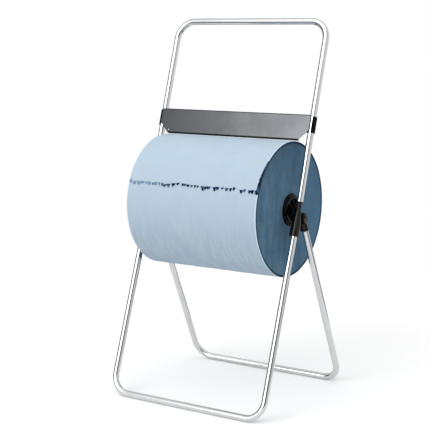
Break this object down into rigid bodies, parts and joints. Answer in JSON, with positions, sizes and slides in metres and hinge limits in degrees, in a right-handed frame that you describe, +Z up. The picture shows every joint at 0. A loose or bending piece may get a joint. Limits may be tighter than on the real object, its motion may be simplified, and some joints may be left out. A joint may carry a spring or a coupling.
{
  "type": "wiping paper roll floor stand",
  "caption": "Folding tube floor stand that holds a wide roll of wiping paper on a turning axle, with a tear bar that slides down on the roll.",
  "frame": {"origin": "on the floor, in the middle of the whole object's footprint", "axes": "+Z up; +X to the right seen from the front, along the roll's axle; -Y to the front, where the paper comes off"},
  "size_m": [0.4598, 0.4108, 0.9289],
  "materials": {
    "chrome_tube": "polished chrome plating",
    "black_plastic": "semi-gloss moulded",
    "dark_bolt": "black oxide",
    "zinc_steel": "bright zinc plating",
    "bar_sheet": "satin grey metallic",
    "wiping_paper": "soft matt crepe",
    "core_board": "matt"
  },
  "bodies": {
    "stand": {"handle_frame": "chrome_tube", "front_leg_frame": "chrome_tube", "connector_left": "black_plastic", "connector_right": "black_plastic", "pivot_bolt_left": "dark_bolt", "pivot_bolt_right": "dark_bolt", "pivot_nut_left": "zinc_steel", "pivot_nut_right": "zinc_steel", "axle_rod": "zinc_steel", "thrust_washer_left": "zinc_steel", "thrust_washer_right": "zinc_steel"},
    "rear_frame": {"rear_leg_frame": "chrome_tube", "rear_socket_left": "black_plastic", "rear_socket_right": "black_plastic"},
    "bar_slider": {"tear_bar": "bar_sheet", "bar_clip_left": "black_plastic", "bar_clip_right": "black_plastic", "clip_nut_left_1": "zinc_steel", "clip_nut_left_2": "zinc_steel", "clip_nut_right_1": "zinc_steel", "clip_nut_right_2": "zinc_steel"},
    "roll": {"paper_roll": "wiping_paper", "roll_core": "core_board", "roll_plug_left": "black_plastic", "roll_plug_right": "black_plastic"}
  },
  "joints": [
    {"name": "rear_leg_fold", "type": "hinge", "parent": "stand", "child": "rear_frame", "pos_m": [0, -0.01691, 0.4635], "axis": [-1, 0, 0], "range_deg": [0, 31]},
    {"name": "bar_slide", "type": "slide", "parent": "stand", "child": "bar_slider", "axis": [0, 0.304, 0.9527], "range_m": [0, 0.185]},
    {"name": "roll_spin", "type": "hinge", "parent": "stand", "child": "roll", "pos_m": [0, -0.01079, 0.476], "axis": [1, 0, 0], "continuous": true}
  ]
}
